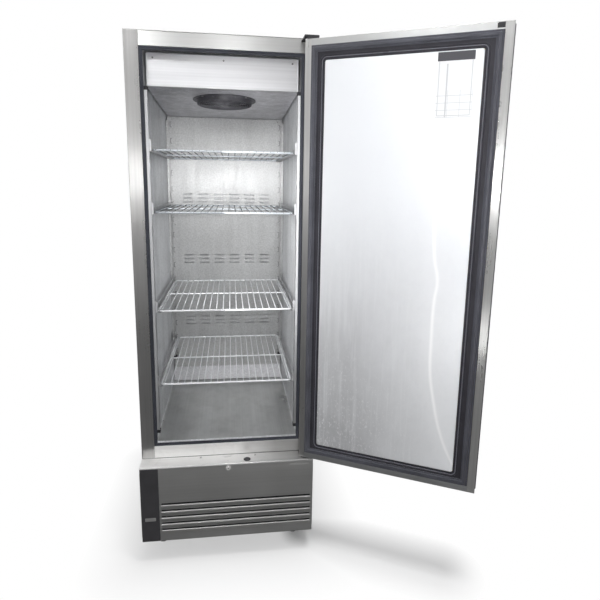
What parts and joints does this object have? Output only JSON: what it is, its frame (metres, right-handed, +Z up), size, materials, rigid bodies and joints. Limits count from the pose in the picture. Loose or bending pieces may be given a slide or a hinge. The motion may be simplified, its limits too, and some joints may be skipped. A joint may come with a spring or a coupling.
{
  "type": "reach in refrigerator",
  "caption": "Upright one-door commercial cabinet with sliding wire shelves, a swing door with a magnetic gasket, and a cooling unit behind a drop-down louvred panel.",
  "frame": {"origin": "on the flat underside of the base, in the plane of the front frame that the door closes on, on the cabinet's centre line; the floor is 105 mm lower", "axes": "+X right across the front, +Y into the cabinet, +Z up"},
  "size_m": [1.281, 1.1767, 2.08],
  "materials": {
    "cabinet_shell": "satin",
    "rear_panel": "satin",
    "cabinet_insulation": "matte",
    "interior_liner": "satin",
    "breaker_frame": "matte",
    "compartment_ledge": "satin",
    "ledge_plug": "satin",
    "base_chassis": "satin",
    "evaporator_cover": "satin",
    "evaporator_fan_guard": "matte",
    "evaporator_fan_motor": "matte",
    "evaporator_coil": "satin",
    "rear_duct_panel": "satin",
    "racking_post_front_left": "satin",
    "racking_post_front_right": "satin",
    "racking_post_rear_left": "satin",
    "racking_post_rear_right": "satin",
    "compressor": "satin",
    "condenser_coil": "satin",
    "condenser_fan_motor": "matte",
    "condensate_tray": "matte",
    "refrigerant_line": "satin",
    "control_box": "matte",
    "unit_rear_grille": "satin",
    "power_cord": "matte",
    "top_hinge_bracket": "satin",
    "bottom_hinge_bracket": "satin",
    "shelf_runner_1_left": "satin",
    "shelf_runner_1_right": "satin",
    "shelf_runner_2_left": "satin",
    "shelf_runner_2_right": "satin",
    "shelf_runner_3_left": "satin",
    "shelf_runner_3_right": "satin",
    "shelf_runner_4_left": "satin",
    "shelf_runner_4_right": "satin",
    "door_outer_pan": "satin",
    "door_insulation": "matte",
    "door_inner_frame": "matte",
    "door_gasket": "matte",
    "door_inner_panel": "satin",
    "door_handle_profile": "matte",
    "louvre_panel": "satin",
    "panel_trim_strip": "satin",
    "panel_lock": "gloss",
    "evaporator_fan_blade": "matte",
    "condenser_fan_blade": "matte",
    "wire_shelf_1": "satin",
    "wire_shelf_2": "satin",
    "wire_shelf_3": "satin",
    "wire_shelf_4": "satin",
    "castor_fork_front_left": "satin",
    "castor_wheel_front_left": "matte",
    "castor_brake_front_left": "matte",
    "castor_fork_front_right": "satin",
    "castor_wheel_front_right": "matte",
    "castor_brake_front_right": "matte",
    "castor_fork_rear_left": "satin",
    "castor_wheel_rear_left": "matte",
    "castor_fork_rear_right": "satin",
    "castor_wheel_rear_right": "matte"
  },
  "bodies": {
    "cabinet": {"cabinet_shell": "cabinet_shell", "rear_panel": "rear_panel", "cabinet_insulation": "cabinet_insulation", "interior_liner": "interior_liner", "breaker_frame": "breaker_frame", "compartment_ledge": "compartment_ledge", "ledge_plug": "ledge_plug", "base_chassis": "base_chassis", "evaporator_cover": "evaporator_cover", "evaporator_fan_guard": "evaporator_fan_guard", "evaporator_fan_motor": "evaporator_fan_motor", "evaporator_coil": "evaporator_coil", "rear_duct_panel": "rear_duct_panel", "racking_post_front_left": "racking_post_front_left", "racking_post_front_right": "racking_post_front_right", "racking_post_rear_left": "racking_post_rear_left", "racking_post_rear_right": "racking_post_rear_right", "compressor": "compressor", "condenser_coil": "condenser_coil", "condenser_fan_motor": "condenser_fan_motor", "condensate_tray": "condensate_tray", "refrigerant_line": "refrigerant_line", "control_box": "control_box", "unit_rear_grille": "unit_rear_grille", "power_cord": "power_cord", "top_hinge_bracket": "top_hinge_bracket", "bottom_hinge_bracket": "bottom_hinge_bracket", "shelf_runner_1_left": "shelf_runner_1_left", "shelf_runner_1_right": "shelf_runner_1_right", "shelf_runner_2_left": "shelf_runner_2_left", "shelf_runner_2_right": "shelf_runner_2_right", "shelf_runner_3_left": "shelf_runner_3_left", "shelf_runner_3_right": "shelf_runner_3_right", "shelf_runner_4_left": "shelf_runner_4_left", "shelf_runner_4_right": "shelf_runner_4_right"},
    "door": {"door_outer_pan": "door_outer_pan", "door_insulation": "door_insulation", "door_inner_frame": "door_inner_frame", "door_gasket": "door_gasket", "door_inner_panel": "door_inner_panel", "door_handle_profile": "door_handle_profile"},
    "front_panel": {"louvre_panel": "louvre_panel", "panel_trim_strip": "panel_trim_strip"},
    "panel_lock": {"panel_lock": "panel_lock"},
    "evaporator_fan": {"evaporator_fan_blade": "evaporator_fan_blade"},
    "condenser_fan": {"condenser_fan_blade": "condenser_fan_blade"},
    "shelf_1": {"wire_shelf_1": "wire_shelf_1"},
    "shelf_2": {"wire_shelf_2": "wire_shelf_2"},
    "shelf_3": {"wire_shelf_3": "wire_shelf_3"},
    "shelf_4": {"wire_shelf_4": "wire_shelf_4"},
    "castor_front_left": {"castor_fork_front_left": "castor_fork_front_left"},
    "wheel_front_left": {"castor_wheel_front_left": "castor_wheel_front_left"},
    "brake_front_left": {"castor_brake_front_left": "castor_brake_front_left"},
    "castor_front_right": {"castor_fork_front_right": "castor_fork_front_right"},
    "wheel_front_right": {"castor_wheel_front_right": "castor_wheel_front_right"},
    "brake_front_right": {"castor_brake_front_right": "castor_brake_front_right"},
    "castor_rear_left": {"castor_fork_rear_left": "castor_fork_rear_left"},
    "wheel_rear_left": {"castor_wheel_rear_left": "castor_wheel_rear_left"},
    "castor_rear_right": {"castor_fork_rear_right": "castor_fork_rear_right"},
    "wheel_rear_right": {"castor_wheel_rear_right": "castor_wheel_rear_right"}
  },
  "joints": [
    {"name": "door_hinge", "type": "hinge", "parent": "cabinet", "child": "door", "pos_m": [0.3245, -0.0387, 1.095], "axis": [0, 0, 1], "range_deg": [-151.5, 13.5]},
    {"name": "front_panel_hinge", "type": "hinge", "parent": "cabinet", "child": "front_panel", "pos_m": [0, -0.064, 0.009], "axis": [1, 0, 0], "range_deg": [0, 90]},
    {"name": "panel_lock_turn", "type": "hinge", "parent": "front_panel", "child": "panel_lock", "pos_m": [0.0014, -0.072, 0.3125], "axis": [0, -1, 0], "range_deg": [0, 90]},
    {"name": "evaporator_fan_spin", "type": "hinge", "parent": "cabinet", "child": "evaporator_fan", "pos_m": [0, 0.255, 1.78583], "axis": [0, 0.0398, 0.9992], "continuous": true},
    {"name": "condenser_fan_spin", "type": "hinge", "parent": "cabinet", "child": "condenser_fan", "pos_m": [0.03, 0.128, 0.157], "axis": [0, 1, 0], "continuous": true},
    {"name": "shelf_1_slide", "type": "slide", "parent": "cabinet", "child": "shelf_1", "axis": [0, -1, 0], "range_m": [0, 0.45]},
    {"name": "shelf_2_slide", "type": "slide", "parent": "cabinet", "child": "shelf_2", "axis": [0, -1, 0], "range_m": [0, 0.45]},
    {"name": "shelf_3_slide", "type": "slide", "parent": "cabinet", "child": "shelf_3", "axis": [0, -1, 0], "range_m": [0, 0.45]},
    {"name": "shelf_4_slide", "type": "slide", "parent": "cabinet", "child": "shelf_4", "axis": [0, -1, 0], "range_m": [0, 0.45]},
    {"name": "castor_swivel_front_left", "type": "hinge", "parent": "cabinet", "child": "castor_front_left", "pos_m": [-0.285, 0.104, -0.015], "axis": [0, 0, 1], "continuous": true},
    {"name": "wheel_roll_front_left", "type": "hinge", "parent": "castor_front_left", "child": "wheel_front_left", "pos_m": [-0.285, 0.076, -0.0675], "axis": [1, 0, 0], "continuous": true},
    {"name": "brake_press_front_left", "type": "hinge", "parent": "castor_front_left", "child": "brake_front_left", "pos_m": [-0.285, 0.07, -0.0205], "axis": [1, 0, 0], "range_deg": [0, 8]},
    {"name": "castor_swivel_front_right", "type": "hinge", "parent": "cabinet", "child": "castor_front_right", "pos_m": [0.285, 0.104, -0.015], "axis": [0, 0, 1], "continuous": true},
    {"name": "wheel_roll_front_right", "type": "hinge", "parent": "castor_front_right", "child": "wheel_front_right", "pos_m": [0.285, 0.076, -0.0675], "axis": [1, 0, 0], "continuous": true},
    {"name": "brake_press_front_right", "type": "hinge", "parent": "castor_front_right", "child": "brake_front_right", "pos_m": [0.285, 0.07, -0.0205], "axis": [1, 0, 0], "range_deg": [0, 8]},
    {"name": "castor_swivel_rear_left", "type": "hinge", "parent": "cabinet", "child": "castor_rear_left", "pos_m": [-0.285, 0.68, -0.015], "axis": [0, 0, 1], "continuous": true},
    {"name": "wheel_roll_rear_left", "type": "hinge", "parent": "castor_rear_left", "child": "wheel_rear_left", "pos_m": [-0.285, 0.708, -0.0675], "axis": [1, 0, 0], "continuous": true},
    {"name": "castor_swivel_rear_right", "type": "hinge", "parent": "cabinet", "child": "castor_rear_right", "pos_m": [0.285, 0.68, -0.015], "axis": [0, 0, 1], "continuous": true},
    {"name": "wheel_roll_rear_right", "type": "hinge", "parent": "castor_rear_right", "child": "wheel_rear_right", "pos_m": [0.285, 0.708, -0.0675], "axis": [1, 0, 0], "continuous": true}
  ]
}
